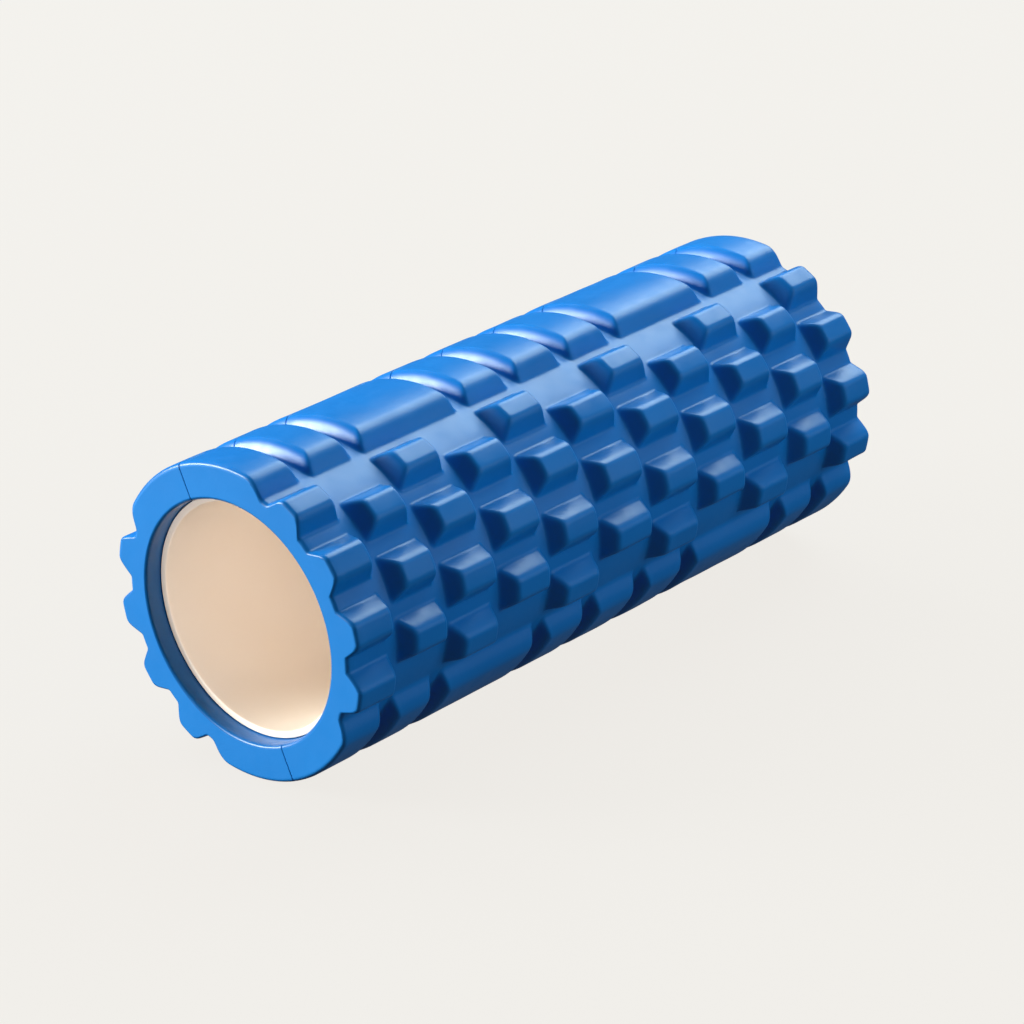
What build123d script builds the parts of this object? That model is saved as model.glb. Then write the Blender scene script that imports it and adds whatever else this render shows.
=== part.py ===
from build123d import *
import os
from math import cos, radians, sin

# Textured foam roller: a moulded foam sleeve in two half shells, glued round a hollow plastic tube.
# Millimetres. The roller's axis is X and the origin is the middle of the roller, which lies on its
# side with +Z up. Angles are degrees about X, from +Y towards +Z.

# Sleeve
LENGTH = 330.0
PAD_R = 68.5  # tops of the pads
BLOCK_R = 69.6  # tops of the blocks
GROOVE_R = 62.2  # floor of the grooves between them
BORE_R = 52.6  # wall that sits on the glued tube
BORE_BEVEL = 1.2  # broken edge at each mouth
JOINT_ANGLE = 63.4  # the joint in the middle of the upper smooth band
HALF_TURN = 180.0

# Raised pattern, in cells along the roller: the list reads the same from either end
CELLS = [22.65, 24.0, 25.6, 25.6, 26.3, 27.7, 26.3, 25.6, 25.6, 24.0, 22.65]
CELL_GAP = 5.4  # groove between neighbouring cells, at its floor
LONG_PADS = {2: 3, 7: 8}  # first and last cell that one long pad of the smooth band spans
ROOT = 1.5  # how deep a pad or block is rooted in the sleeve wall

# Smooth band, measured from the joint in its middle
BAND_FOOT = 41.7
BAND_TOP = 35.6
PAD_LEAN = (3.4, 2.4)  # run of a pad's two end walls: the -X end leans more than the +X end
PAD_ROUND = 2.4

# Staggered blocks
ROWS = 7
ROW_PITCH = 12.0
FOOT_ANGLE = 17.8  # width of a block at its foot, wider than the pitch: the rows mesh
RIDGE_ANGLE = 8.2
BLOCK_LEAN = (4.6, 2.0)
BLOCK_ROUND = 1.8

# Joint between the half shells
NOTCH = 0.9  # depth of the fine V left along the joint
BOND_THICK = 0.3
BOND_INSET = 4.0  # the glue stops this far short of the end faces
SEAM_BOND_IN = 54.0
SEAM_BOND_OUT = 61.0

# Tube
FILM = 0.3  # contact adhesive between the tube and the sleeve
TUBE_WALL = 3.0
TUBE_RECESS = 8.0  # tube end behind the sleeve's end face
TUBE_EDGE = 0.6
FILM_INSET = 3.0  # film edge behind the tube end

HALF = LENGTH / 2
TUBE_R = BORE_R - FILM
TUBE_HALF = HALF - TUBE_RECESS
ROW_ANGLES = [90 + (row - (ROWS - 1) / 2) * ROW_PITCH for row in range(ROWS)]

os.makedirs("parts", exist_ok=True)


def half_plane(angle):
    """Plane through the axis: local x along the roller, local y outwards at this angle."""
    turn = radians(angle)
    return Plane(origin=(0, 0, 0), x_dir=(1, 0, 0), z_dir=(0, -sin(turn), cos(turn)))


def polar(radius, angle):
    """A point of a cross-section sketch."""
    return (radius * cos(radians(angle)), radius * sin(radians(angle)))


def cell_spans():
    """Start and end of each cell's foot along the roller."""
    spans = []
    start = -HALF
    for size in CELLS:
        spans.append((start, start + size))
        start += size + CELL_GAP
    return spans


def pad_spans():
    """The cells again, with two merged wherever one long pad spans them."""
    cells = cell_spans()
    inner = list(LONG_PADS.values())
    return [(cells[i][0], cells[LONG_PADS.get(i, i)][1]) for i in range(len(cells)) if i not in inner]


def ridge_ring(spans, top, leans, rounding, start, arc):
    """A line of ridges revolved about the axis; an end at the roller's end face is cut square."""
    plane = half_plane(start)
    low = GROOVE_R - ROOT
    with BuildPart() as ring:
        with BuildSketch(plane) as outline:
            for x0, x1 in spans:
                top0 = (x0 + (leans[0] if x0 > -HALF + 1 else 0), top)
                top1 = (x1 - (leans[1] if x1 < HALF - 1 else 0), top)
                with BuildLine():
                    Polyline((x0, low), (x0, GROOVE_R), top0, top1, (x1, GROOVE_R), (x1, low), close=True)
                make_face()
            fillet(outline.vertices().group_by(Axis.Y)[-1], rounding)
        revolve(axis=Axis.X, revolution_arc=arc)
    return ring.part


def row_bars(angles):
    """Bars along the whole roller with the cross-section of a block, one at each angle."""
    low = GROOVE_R - ROOT
    half_foot = FOOT_ANGLE / 2
    half_ridge = RIDGE_ANGLE / 2
    with BuildPart() as bars:
        with BuildSketch(Plane.YZ.offset(-HALF)) as section:
            for at in angles:
                left = (polar(low, at - half_foot), polar(GROOVE_R, at - half_foot))
                ridge = (polar(BLOCK_R, at - half_ridge), polar(BLOCK_R, at + half_ridge))
                right = (polar(GROOVE_R, at + half_foot), polar(low, at + half_foot))
                with BuildLine():
                    Polyline(*left, *ridge, *right, close=True)
                make_face()
            corners = [v for v in section.vertices() if Vector(v.X, v.Y).length > GROOVE_R + 1]
            fillet(corners, BLOCK_ROUND)
        extrude(amount=LENGTH)
    return bars.part


def block_field(start, parity):
    """Every second row's blocks over every second cell, for one half shell."""
    angles = [start + at for at in ROW_ANGLES[parity::2]]
    ring = ridge_ring(cell_spans()[parity::2], BLOCK_R, BLOCK_LEAN, BLOCK_ROUND, start, HALF_TURN)
    bars = row_bars(angles)
    with BuildPart() as field:
        add(ring)
        add(bars, mode=Mode.INTERSECT)
    return field.part


def band_half(start, side):
    """The half of a smooth band on one side (+1 or -1) of the joint at this angle."""
    pads = ridge_ring(pad_spans(), PAD_R, PAD_LEAN, PAD_ROUND, start, side * BAND_FOOT)
    low = GROOVE_R - ROOT
    edge = side * (BAND_FOOT - BAND_TOP)
    with BuildPart() as band:
        add(pads)
        # One long cut leans the band's edge from its foot to its top
        with BuildSketch(Plane.YZ.offset(-HALF)):
            foot = start + side * BAND_FOOT
            with BuildLine():
                Polyline(
                    polar(GROOVE_R, foot), polar(PAD_R + 0.4, foot - edge),
                    polar(PAD_R + ROOT, foot - edge), polar(PAD_R + ROOT, foot + edge),
                    polar(GROOVE_R, foot + edge), close=True,
                )
            make_face()
        extrude(amount=LENGTH, mode=Mode.SUBTRACT)
    return band.part


def seam_bond(angle):
    """Strip of glue in the joint between the half shells."""
    with BuildPart() as strip:
        with BuildSketch(half_plane(angle)):
            with Locations((0, (SEAM_BOND_IN + SEAM_BOND_OUT) / 2)):
                Rectangle(LENGTH - 2 * BOND_INSET, SEAM_BOND_OUT - SEAM_BOND_IN)
        extrude(amount=BOND_THICK / 2, both=True)
    return strip.part


def half_shell(start):
    """One moulding: the wall, half of each smooth band, and the blocks between them."""
    end = start + HALF_TURN
    pieces = [band_half(start, 1), band_half(end, -1), block_field(start, 0), block_field(start, 1)]
    pockets = [seam_bond(start), seam_bond(end)]
    bevel = BORE_R + BORE_BEVEL
    with BuildPart() as shell:
        with BuildSketch(half_plane(start)):
            with BuildLine():
                Polyline(
                    (-HALF, bevel), (-HALF, GROOVE_R), (HALF, GROOVE_R), (HALF, bevel),
                    (HALF - BORE_BEVEL, BORE_R), (-HALF + BORE_BEVEL, BORE_R), close=True,
                )
            make_face()
        revolve(axis=Axis.X, revolution_arc=HALF_TURN)
        for piece in pieces:
            add(piece)
        # A fine V along both joints
        with BuildSketch(Plane.YZ.offset(-HALF)):
            for at in (start, end):
                with Locations(polar(PAD_R, at)):
                    Rectangle(NOTCH * 2**0.5, NOTCH * 2**0.5, rotation=at + 45)
        extrude(amount=LENGTH, mode=Mode.SUBTRACT)
        for pocket in pockets:
            add(pocket, mode=Mode.SUBTRACT)
    return shell.part


def bond_film(start):
    """Film of contact adhesive under one half shell."""
    reach = TUBE_HALF - FILM_INSET
    with BuildPart() as film:
        with BuildSketch(half_plane(start)):
            with Locations((0, TUBE_R + FILM / 2)):
                Rectangle(2 * reach, FILM)
        revolve(axis=Axis.X, revolution_arc=HALF_TURN)
    return film.part


# Core tube
with BuildPart() as core_tube:
    with BuildSketch(Plane.YZ.offset(-TUBE_HALF)):
        Circle(TUBE_R)
        Circle(TUBE_R - TUBE_WALL, mode=Mode.SUBTRACT)
    extrude(amount=2 * TUBE_HALF)
    rims = core_tube.edges().filter_by(GeomType.CIRCLE)
    chamfer(rims, TUBE_EDGE)

# The half shell facing -Y, and the same moulding turned half a turn about the axis
with BuildPart() as foam_shell_front:
    add(half_shell(JOINT_ANGLE))
with BuildPart() as foam_shell_back:
    add(half_shell(JOINT_ANGLE + HALF_TURN))

with BuildPart() as core_bond_front:
    add(bond_film(JOINT_ANGLE))
with BuildPart() as core_bond_back:
    add(bond_film(JOINT_ANGLE + HALF_TURN))

with BuildPart() as seam_bond_top:
    add(seam_bond(JOINT_ANGLE))
with BuildPart() as seam_bond_bottom:
    add(seam_bond(JOINT_ANGLE + HALF_TURN))

core_tube.part.label = "core_tube"
export_step(core_tube.part, "parts/core_tube.step")

foam_shell_front.part.label = "foam_shell_front"
export_step(foam_shell_front.part, "parts/foam_shell_front.step")

foam_shell_back.part.label = "foam_shell_back"
export_step(foam_shell_back.part, "parts/foam_shell_back.step")

core_bond_front.part.label = "core_bond_front"
export_step(core_bond_front.part, "parts/core_bond_front.step")

core_bond_back.part.label = "core_bond_back"
export_step(core_bond_back.part, "parts/core_bond_back.step")

seam_bond_top.part.label = "seam_bond_top"
export_step(seam_bond_top.part, "parts/seam_bond_top.step")

seam_bond_bottom.part.label = "seam_bond_bottom"
export_step(seam_bond_bottom.part, "parts/seam_bond_bottom.step")
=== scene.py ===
import math

import bpy
import numpy as np
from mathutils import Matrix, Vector


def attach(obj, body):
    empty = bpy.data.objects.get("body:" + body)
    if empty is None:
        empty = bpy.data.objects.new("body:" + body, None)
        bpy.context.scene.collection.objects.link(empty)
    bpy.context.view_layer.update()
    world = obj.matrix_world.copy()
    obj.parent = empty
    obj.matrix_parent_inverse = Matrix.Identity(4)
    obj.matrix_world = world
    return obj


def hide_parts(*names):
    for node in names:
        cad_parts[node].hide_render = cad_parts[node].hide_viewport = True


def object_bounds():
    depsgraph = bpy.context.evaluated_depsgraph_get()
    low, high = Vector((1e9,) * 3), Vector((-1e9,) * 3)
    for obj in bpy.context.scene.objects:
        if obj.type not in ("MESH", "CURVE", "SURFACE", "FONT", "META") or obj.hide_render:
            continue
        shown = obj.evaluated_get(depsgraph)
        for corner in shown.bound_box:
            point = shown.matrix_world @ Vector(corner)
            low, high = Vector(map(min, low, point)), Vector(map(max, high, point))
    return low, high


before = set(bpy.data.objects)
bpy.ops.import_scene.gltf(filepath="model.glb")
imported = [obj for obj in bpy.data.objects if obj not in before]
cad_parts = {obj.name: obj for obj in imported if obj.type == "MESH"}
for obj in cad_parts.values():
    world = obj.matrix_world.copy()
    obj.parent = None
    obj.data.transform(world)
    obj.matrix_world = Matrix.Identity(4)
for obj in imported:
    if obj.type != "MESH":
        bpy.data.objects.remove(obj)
cad_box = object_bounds()

MM = 0.001

# Sizes in millimetres and degrees, the same as in part.py. The axis is X, and angles turn about it from +Y
# towards +Z.
HALF = 165.0        # half the sleeve's length
PAD_R = 68.5        # tops of the smooth band's pads
BLOCK_R = 69.6      # tops of the blocks
GROOVE_R = 62.2     # floor between them
PAD_RISE = PAD_R - GROOVE_R
BLOCK_RISE = BLOCK_R - GROOVE_R
BORE_R = 52.6
BORE_BEVEL = 1.2
JOINT_ANGLE = 63.4  # upper joint between the half shells, the middle of the upper band
CELLS = (22.65, 24.0, 25.6, 25.6, 26.3, 27.7, 26.3, 25.6, 25.6, 24.0, 22.65)
CELL_GAP = 5.4
LONG_PADS = {2: 3, 7: 8}    # first and last cell of each long pad
BAND_FOOT = 41.7    # edge of the band from the joint, at its foot
BAND_TOP = 35.6     # and at its top
PAD_LEAN = (3.4, 2.4)       # run of the -X and +X end walls
BLOCK_LEAN = (4.6, 2.0)
ROWS = 7
ROW_PITCH = 12.0
FOOT_ANGLE = 17.8   # width of a block at its foot
RIDGE_ANGLE = 8.2   # and at its top
TUBE_R = 52.3
TUBE_WALL = 3.0
TUBE_HALF = 157.0

# Softness of the moulding
END_ROUND = 1.8     # edge round each end face
JOINT_ROUND = 0.7   # edge along the joint between the half shells
JOINT_BACK = 0.5    # share of that fall which also draws the end face in
PAD_SOFT = (3.0, 3.4, 3.5)  # top edges of a pad: at the band's edge, the -X wall and the +X wall
PAD_FOOT_SOFT = 1.2
RIDGE_SOFT = 1.0    # where a block's two end walls would meet
CORNER_SOFT = 3.2   # a block's upright corners
TOP_SOFT = 2.3      # a block's top edges
BLOCK_FOOT_SOFT = 1.0
BLOCK_SPREAD = (-0.12, 0.02)    # how the tops of the blocks differ in height
SWELL = 0.025       # height of each slow wave over the sleeve
TUBE_SOFT = 0.5     # edges of the tube's rims

# How the meshes are divided
END_STEPS = 5       # steps round the edge of an end face
FACE_SHARES = (0.03, 0.5, 0.97)     # of the way down it
ZIP_INSET = 0.9994  # a joint face's inner line counts as this much shorter: no triangle lies along its end
TUBE_TURNS = 288    # steps of the tube round its axis
SMOOTH_ANGLE = 40   # edges sharper than this stay sharp


# ---------------------------------------------------------------- meshes

def ring_faces(spans, turns, n):
    """Quads between closed sections of n points, over so many spans of the turns there are."""
    faces = []
    for i in range(spans):
        for j in range(n):
            k, m = (j + 1) % n, (i + 1) % turns
            faces.append((i * n + j, m * n + j, m * n + k, i * n + k))
    return faces


def closed_mesh(name, points, faces):
    """A mesh from its points in metres and its faces."""
    mesh = bpy.data.meshes.new(name)
    mesh.from_pydata(points, [], faces)
    mesh.validate()
    mesh.update()
    return mesh


# ---------------------------------------------------------------- moulded foam

def smin(a, b, k):
    """The smaller of two heights, with the corner between them rounded over k."""
    gap = np.maximum(k - np.abs(a - b), 0) / k
    return np.minimum(a, b) - gap * gap * k / 4


def smax(a, b, k):
    """The larger of two heights, with the corner between them filled over k."""
    return -smin(-a, -b, k)


def cell_spans():
    """Start and end of each cell's foot along the roller."""
    spans = []
    start = -HALF
    for size in CELLS:
        spans.append((start, start + size))
        start += size + CELL_GAP
    return spans


def pad_spans():
    """The cells again, with two merged wherever one long pad spans them."""
    cells = cell_spans()
    inner = list(LONG_PADS.values())
    return [(cells[i][0], cells[LONG_PADS.get(i, i)][1]) for i in range(len(cells)) if i not in inner]


def end_walls(x, x0, x1, rise, leans):
    """Height of a raised piece's two end walls over the foot; a cut end has no wall."""
    never = np.full_like(x, 4 * rise)
    up = (x - x0) / leans[0] * rise if x0 > -HALF + 0.01 else never
    down = (x1 - x) / leans[1] * rise if x1 < HALF - 0.01 else never
    return up, down


def pattern_height(x, a, rng):
    """Height of the raised pattern at x along the roller and angle a from the joint."""
    total = np.zeros_like(x)
    edge = np.minimum(np.abs(a), np.abs(180 - a))
    flank = (BAND_FOOT - edge) / (BAND_FOOT - BAND_TOP) * PAD_RISE
    for x0, x1 in pad_spans():
        up, down = end_walls(x, x0, x1, PAD_RISE, PAD_LEAN)
        # How far each wall, with its own soft top edge, falls below the pad's top
        falls = [PAD_RISE - smin(wall, PAD_RISE, soft) for wall, soft in zip((flank, up, down), PAD_SOFT)]
        pad = PAD_RISE - sum(fall ** 3 for fall in falls) ** (1 / 3)
        total = np.maximum(total, smax(pad, 0.0, PAD_FOOT_SOFT))
    cells = cell_spans()
    run = (FOOT_ANGLE - RIDGE_ANGLE) / 2
    for row in range(ROWS):
        centre = 90 + (row - (ROWS - 1) / 2) * ROW_PITCH
        sides = (FOOT_ANGLE / 2 - np.abs(a - centre)) / run * BLOCK_RISE
        for x0, x1 in cells[row % 2::2]:
            top = BLOCK_RISE + rng.uniform(*BLOCK_SPREAD)
            up, down = end_walls(x, x0, x1, BLOCK_RISE, BLOCK_LEAN)
            block = smin(smin(up, down, RIDGE_SOFT), sides, CORNER_SOFT)
            block = smin(block, top, TOP_SOFT)
            total = np.maximum(total, smax(block, 0.0, BLOCK_FOOT_SOFT))
    return total


def round_off(distance, radius):
    """How far an edge of this radius falls back at a distance from the edge."""
    d = np.clip(radius - distance, 0, radius)
    return radius - np.sqrt(radius * radius - d * d)


def station_lines():
    """Stations along the roller, close together where the pattern rises."""
    steps = (-0.8, -0.3, 0.2, 0.7, 1.2, 1.7, 2.2, 2.7, 3.2, 3.7, 4.2, 4.7, 5.3, 6.0, 6.8)
    lines = [-HALF + END_ROUND, HALF - END_ROUND]
    for x0, x1 in cell_spans():
        if x0 > -HALF + 0.01:
            lines += [x0 + s for s in steps]
        if x1 < HALF - 0.01:
            lines += [x1 - s for s in steps]
    lines = sorted(v for v in lines if abs(v) <= HALF - END_ROUND)
    out = [lines[0]]
    for v in lines[1:]:
        gap = v - out[-1]
        if gap < 0.2:
            continue
        n = max(1, int(round(gap / 2.6)))
        out += [out[-1] + gap * (i + 1) / n for i in range(n)]
    return np.array(out)


def angle_lines():
    """Angles from one joint to the next, close together over the blocks."""
    near = [0.0, 0.1, 0.22, 0.36, 0.5, 0.62, 0.85]
    band = list(np.arange(3.0, BAND_TOP - 3, 2.6))
    edge = list(np.arange(BAND_TOP - 2.6, BAND_FOOT + 1.2, 0.55))
    first = 90 - (ROWS - 1) * ROW_PITCH / 2 - FOOT_ANGLE / 2
    rows = list(np.arange(first - 1.2, 89.9, 0.6))
    half = near + band + edge + rows
    half = [v for v in half if v < 89.8]
    return np.array(half + [90.0] + [180 - v for v in reversed(half)])


def outer_surface(xs, angles, rng):
    """Radius of the outer surface at each angle and station."""
    grid_x, grid_a = np.meshgrid(xs, angles)
    outer = GROOVE_R + pattern_height(grid_x, grid_a, rng)
    # A moulding is never quite true: slow swells of about a tenth of a millimetre
    swell = np.zeros_like(outer)
    for _ in range(6):
        fx, fa = rng.uniform(0.01, 0.05), rng.uniform(1, 7)
        phase = rng.uniform(0, 6)
        swell += SWELL * np.sin(grid_x * fx * 2 * math.pi + grid_a * math.radians(fa) + phase)
    return np.minimum(outer + swell, BLOCK_R)


def section_columns(xs, angles, outer):
    """The shell's closed section as columns of x and radius, each with one value for every angle.

    They run along the outer surface to +X, down the +X end face, back through the bore and up the -X end
    face. Both joints fall away a little, which makes the fine V between the half shells.
    """
    drop = round_off(np.radians(np.minimum(angles, 180 - angles)) * PAD_R, JOINT_ROUND)
    back = drop * JOINT_BACK
    turns = np.linspace(0, math.pi / 2, END_STEPS + 1)[1:]
    columns_x, columns_r = [], []

    def column(x, r):
        columns_x.append(np.broadcast_to(x, (len(angles),)))
        columns_r.append(np.broadcast_to(r, (len(angles),)))

    for i in range(len(xs)):
        column(xs[i], outer[:, i] - drop)
    right = outer[:, -1] - drop
    for t in turns:
        column(HALF - back - END_ROUND * (1 - math.sin(t)), right - END_ROUND * (1 - math.cos(t)))
    for share in FACE_SHARES:
        column(HALF - back, (right - END_ROUND) * (1 - share) + (BORE_R + BORE_BEVEL) * share)
    bevel = [(HALF, BORE_R + BORE_BEVEL), (HALF - 0.25, BORE_R + 0.62), (HALF - 0.62, BORE_R + 0.25),
             (HALF - BORE_BEVEL, BORE_R), (HALF - 2.0, BORE_R)]
    for x, r in bevel:
        column(x - back, r + back)
    # Stations in the bore stand under the feet of the cells, so the joint faces keep inside the outline
    feet = [x for span in cell_spans() for x in span if abs(x) < HALF - 1]
    for x in reversed(feet):
        column(x, BORE_R)
    for x, r in reversed(bevel):
        column(-x + back, r + back)
    left = outer[:, 0] - drop
    for share in reversed(FACE_SHARES):
        column(-HALF + back, (left - END_ROUND) * (1 - share) + (BORE_R + BORE_BEVEL) * share)
    for t in reversed(turns):
        column(-HALF + back + END_ROUND * (1 - math.sin(t)), left - END_ROUND * (1 - math.cos(t)))
    return np.array(columns_x).T, np.array(columns_r).T


def joint_face(section_x, n_outer, first, flip):
    """Triangles across one joint, zipped between the outer and inner lines from -X to +X."""
    n = len(section_x)
    corner = n_outer + END_STEPS
    out_side = list(range(n - END_STEPS, n)) + list(range(corner))
    in_side = list(range(corner, n - END_STEPS))[::-1]
    last_out, last_in = len(out_side) - 1, len(in_side) - 1
    faces = []
    a, b = 0, 0
    while a < last_out or b < last_in:
        x_out = section_x[out_side[min(a + 1, last_out)]]
        x_in = section_x[in_side[min(b + 1, last_in)]] * ZIP_INSET
        if b == last_in or (a < last_out and x_out <= x_in):
            tri = (out_side[a], in_side[b], out_side[a + 1])
            a += 1
        else:
            tri = (out_side[a], in_side[b], in_side[b + 1])
            b += 1
        tri = tuple(first + v for v in tri)
        faces.append(tri[::-1] if flip else tri)
    return faces


def foam_shell(name, start, seed):
    """One half shell: its section carried round from joint to joint, closed by a face at each."""
    xs = station_lines()
    angles = angle_lines()
    outer = outer_surface(xs, angles, np.random.default_rng(seed))
    px, pr = section_columns(xs, angles, outer)
    turn = np.radians(start + angles)[:, None]
    points = np.stack([px, pr * np.cos(turn), pr * np.sin(turn)], -1).reshape(-1, 3) * MM
    n_a, n_c = px.shape
    faces = ring_faces(n_a - 1, n_a, n_c)
    faces += joint_face(px[0], len(xs), 0, True)
    faces += joint_face(px[-1], len(xs), (n_a - 1) * n_c, False)
    return closed_mesh(name, points.tolist(), faces)


# ---------------------------------------------------------------- core tube

def lathe(name, profile):
    """A closed profile of (x, r) turned once about the axis."""
    points = []
    for i in range(TUBE_TURNS):
        turn = 2 * math.pi * i / TUBE_TURNS
        for x, r in profile:
            points.append((x * MM, r * math.cos(turn) * MM, r * math.sin(turn) * MM))
    return closed_mesh(name, points, ring_faces(TUBE_TURNS, TUBE_TURNS, len(profile)))


def tube_profile():
    """The tube's wall in section, its rims broken by a small soft edge."""
    corner = [(TUBE_SOFT * (1 - math.sin(t)), TUBE_SOFT * (1 - math.cos(t)))
              for t in np.linspace(0, math.pi / 2, 5)]
    inner = TUBE_R - TUBE_WALL
    out = [(x, TUBE_R) for x in np.linspace(-TUBE_HALF + 2, TUBE_HALF - 2, 9)]
    out += [(TUBE_HALF - cx, TUBE_R - cr) for cx, cr in corner]
    out += [(TUBE_HALF, (TUBE_R + inner) / 2)]
    out += [(TUBE_HALF - cx, inner + cr) for cx, cr in reversed(corner)]
    out += [(x, inner) for x in np.linspace(TUBE_HALF - 2, -TUBE_HALF + 2, 15)]
    out += [(-TUBE_HALF + cx, inner + cr) for cx, cr in corner]
    out += [(-TUBE_HALF, (TUBE_R + inner) / 2)]
    out += [(-TUBE_HALF + cx, TUBE_R - cr) for cx, cr in reversed(corner)]
    return out


# ---------------------------------------------------------------- materials

def new_material(name):
    """A material, its nodes, its links and its shader."""
    material = bpy.data.materials.new(name)
    material.use_nodes = True
    nodes = material.node_tree.nodes
    return material, nodes, material.node_tree.links, nodes["Principled BSDF"]


def noise(nodes, links, where, scale, detail=3.0):
    """Noise of this scale, in cycles per metre."""
    texture = nodes.new("ShaderNodeTexNoise")
    texture.inputs["Scale"].default_value = scale
    texture.inputs["Detail"].default_value = detail
    links.new(where, texture.inputs["Vector"])
    return texture


def mottle(nodes, links, texture, shader, dark, light):
    """Base colour between two shades, by a texture."""
    node = nodes.new("ShaderNodeValToRGB")
    stops = node.color_ramp.elements
    stops[0].position, stops[0].color = 0.3, dark
    stops[1].position, stops[1].color = 0.7, light
    links.new(texture.outputs["Fac"], node.inputs["Fac"])
    links.new(node.outputs["Color"], shader.inputs["Base Color"])


def vary_gloss(nodes, links, texture, shader, low, high):
    """Roughness between two values, by a texture."""
    node = nodes.new("ShaderNodeMapRange")
    for key, value in (("From Min", 0.3), ("From Max", 0.7), ("To Min", low), ("To Max", high)):
        node.inputs[key].default_value = value
    links.new(texture.outputs["Fac"], node.inputs["Value"])
    links.new(node.outputs["Result"], shader.inputs["Roughness"])


def relief(nodes, links, texture, strength, distance, under=None):
    """Bump from a texture, over another bump if there is one."""
    node = nodes.new("ShaderNodeBump")
    node.inputs["Strength"].default_value = strength
    node.inputs["Distance"].default_value = distance
    links.new(texture.outputs["Fac"], node.inputs["Height"])
    if under:
        links.new(under.outputs["Normal"], node.inputs["Normal"])
    return node


def foam_material(name, dark, light, rough, grain):
    """Closed-cell foam: faintly cloudy colour, uneven gloss, a fine grain over a soft unevenness."""
    material, nodes, links, shader = new_material(name)
    where = nodes.new("ShaderNodeTexCoord").outputs["Object"]
    cloud = noise(nodes, links, where, 22.0, 4.0)
    mottle(nodes, links, cloud, shader, dark, light)
    skin = noise(nodes, links, where, 160.0)
    vary_gloss(nodes, links, skin, shader, rough - 0.04, rough + 0.05)
    pores = noise(nodes, links, where, 1100.0, 1.0)
    fine = relief(nodes, links, pores, grain, 0.0001)
    broad = relief(nodes, links, skin, 0.12, 0.0004, fine)
    links.new(broad.outputs["Normal"], shader.inputs["Normal"])
    return material


def tube_material():
    """Satin cream plastic with faint lines from extrusion along the tube."""
    material, nodes, links, shader = new_material("core_plastic")
    where = nodes.new("ShaderNodeTexCoord").outputs["Object"]
    stretch = nodes.new("ShaderNodeMapping")
    stretch.inputs["Scale"].default_value = (0.06, 1.0, 1.0)
    links.new(where, stretch.inputs["Vector"])
    lines = noise(nodes, links, stretch.outputs["Vector"], 260.0, 2.0)
    cloud = noise(nodes, links, where, 14.0)
    mottle(nodes, links, cloud, shader, (0.87, 0.73, 0.59, 1), (0.90, 0.77, 0.64, 1))
    vary_gloss(nodes, links, cloud, shader, 0.42, 0.52)
    bump = relief(nodes, links, lines, 0.15, 0.0002)
    links.new(bump.outputs["Normal"], shader.inputs["Normal"])
    return material


def glue_material():
    """Brushed contact adhesive."""
    material, nodes, links, shader = new_material("contact_adhesive")
    where = nodes.new("ShaderNodeTexCoord").outputs["Object"]
    strokes = noise(nodes, links, where, 120.0, 4.0)
    mottle(nodes, links, strokes, shader, (0.42, 0.32, 0.16, 1), (0.60, 0.48, 0.28, 1))
    shader.inputs["Roughness"].default_value = 0.35
    bump = relief(nodes, links, strokes, 0.3, 0.0002)
    links.new(bump.outputs["Normal"], shader.inputs["Normal"])
    return material


skin_blue = foam_material("foam_skin", (0.002, 0.165, 0.53, 1), (0.003, 0.185, 0.58, 1), 0.34, 0.10)
# Cut end faces: the matte, grainy finish is the cut foam's own, but the lighter blue is painted light
# standing in for the key lamp on the end faces
cut_face_painted_lit_blue = foam_material("foam_cut_face_painted_light", (0.002, 0.230, 0.70, 1), (0.003, 0.255, 0.76, 1), 0.60, 0.30)
core_cream = tube_material()
glue = glue_material()


# ---------------------------------------------------------------- pieces

def place(name, mesh, materials, nodes):
    """A finished piece: its materials, its shading, its body, and the nodes whose place it takes."""
    piece = bpy.data.objects.new(name, mesh)
    bpy.context.scene.collection.objects.link(piece)
    for material in materials:
        mesh.materials.append(material)
    mesh.shade_smooth()
    mesh.set_sharp_from_angle(angle=math.radians(SMOOTH_ANGLE))
    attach(piece, "root")
    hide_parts(*nodes)
    return piece


for label, start, seed in (("front", JOINT_ANGLE, 3), ("back", JOINT_ANGLE + 180, 4)):
    shell = foam_shell("foam_" + label, start, seed)
    piece = place("foam_" + label, shell, (skin_blue, cut_face_painted_lit_blue), ["foam_shell_" + label])
    # The flat end faces show the cut foam, matte and grainy, in a lighter blue that is painted light: it
    # stands in for the key lamp falling on them
    for face in shell.polygons:
        faces_out = abs(face.normal.x) > 0.985
        at_end = abs(face.center.x) > (HALF - 1.0) * MM
        if faces_out and at_end:
            face.material_index = 1

core = place("core_tube_finished", lathe("core_tube_finished", tube_profile()), (core_cream,),
             ["core_tube"])

# The glue keeps its nodes, and only their material changes
for node in ("core_bond_front", "core_bond_back", "seam_bond_top", "seam_bond_bottom"):
    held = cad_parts[node]
    held.data.materials.clear()
    held.data.materials.append(glue)


# ---------------------------------------------------------------- floor, light, camera

def area_light(name, direction, distance, size, power, colour, tall=None):
    """A lamp this far away in one direction, aimed at the origin."""
    lamp = bpy.data.lights.new(name, "AREA")
    lamp.shape = "RECTANGLE"
    lamp.size = size
    lamp.size_y = tall or size
    lamp.energy = power
    lamp.color = colour
    light = bpy.data.objects.new(name, lamp)
    light.location = Vector(direction).normalized() * distance
    light.rotation_euler = (-light.location).to_track_quat("-Z", "Y").to_euler()
    bpy.context.scene.collection.objects.link(light)
    return light


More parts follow.
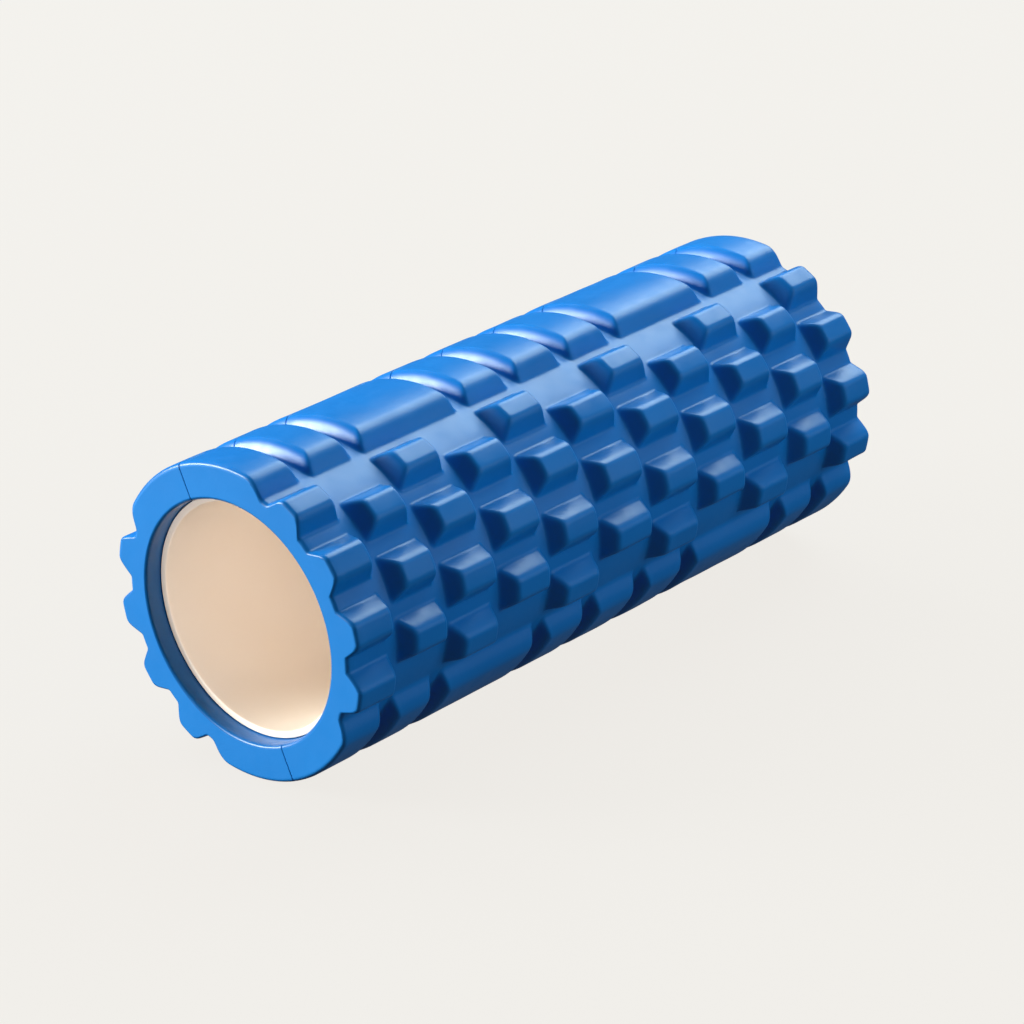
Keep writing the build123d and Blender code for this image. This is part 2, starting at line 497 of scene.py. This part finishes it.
floor_mesh = bpy.data.meshes.new("studio_floor")
floor_mesh.from_pydata([(-8, -8, 0), (8, -8, 0), (8, 8, 0), (-8, 8, 0)], [], [(0, 1, 2, 3)])
floor = bpy.data.objects.new("studio_floor", floor_mesh)
floor.location.z = cad_box[0][2] - 0.0002
bpy.context.scene.collection.objects.link(floor)
paper, _, _, paper_shader = new_material("studio_paper")
paper_shader.inputs["Base Color"].default_value = (0.04, 0.04, 0.04, 1)
paper_shader.inputs["Roughness"].default_value = 0.9
paper_shader.inputs["Specular IOR Level"].default_value = 0.0
paper_shader.inputs["Emission Color"].default_value = (0.86, 0.835, 0.795, 1)
paper_shader.inputs["Emission Strength"].default_value = 0.97
floor_mesh.materials.append(paper)
floor.visible_diffuse = False
floor.visible_glossy = False

world = bpy.data.worlds.new("studio")
world.use_nodes = True
world.node_tree.nodes["Background"].inputs["Color"].default_value = (0.80, 0.86, 0.92, 1)
world.node_tree.nodes["Background"].inputs["Strength"].default_value = 0.08
bpy.context.scene.world = world

side_key = area_light("side_key", (-0.622, 0.750, 0.226), 3.0, 1.8, 146, (0.93, 1.0, 1.0), 0.72)
side_key.rotation_euler.rotate_axis("Z", math.radians(24))
overhead = area_light("overhead_box", (0.672, 0.197, 0.712), 2.4, 1.7, 50, (0.78, 0.98, 1.0))
fill = area_light("front_fill", (0.50, -0.80, 0.33), 2.8, 2.0, 41, (0.88, 0.96, 1.0))
top_fill = area_light("top_fill", (0.10, 0.75, 0.65), 2.6, 1.4, 40, (0.95, 1.0, 1.0))
for light in (fill, top_fill):
    light.visible_glossy = False
core_light = area_light("core_fill", (-0.90, -0.38, 0.22), 0.50, 0.22, 1.3, (1.0, 0.98, 0.98))
core_only = bpy.data.collections.new("core_only")
core_only.objects.link(core)
core_light.light_linking.receiver_collection = core_only
for light in (side_key, overhead, fill, top_fill, core_light):
    light.visible_camera = False

camera_data = bpy.data.cameras.new("camera")
camera_data.sensor_width = 36
camera_data.lens = 132.7
camera = bpy.data.objects.new("camera", camera_data)
camera.location = (-1.0917, -0.9777, 0.7002)
aim = Vector((-0.0025, -0.0029, -0.0074))
camera.rotation_euler = (aim - camera.location).to_track_quat("-Z", "Y").to_euler()
camera.rotation_euler.rotate_axis("Z", math.radians(0.19))
bpy.context.scene.collection.objects.link(camera)
bpy.context.scene.camera = camera

bpy.context.scene.view_settings.view_transform = "Standard"
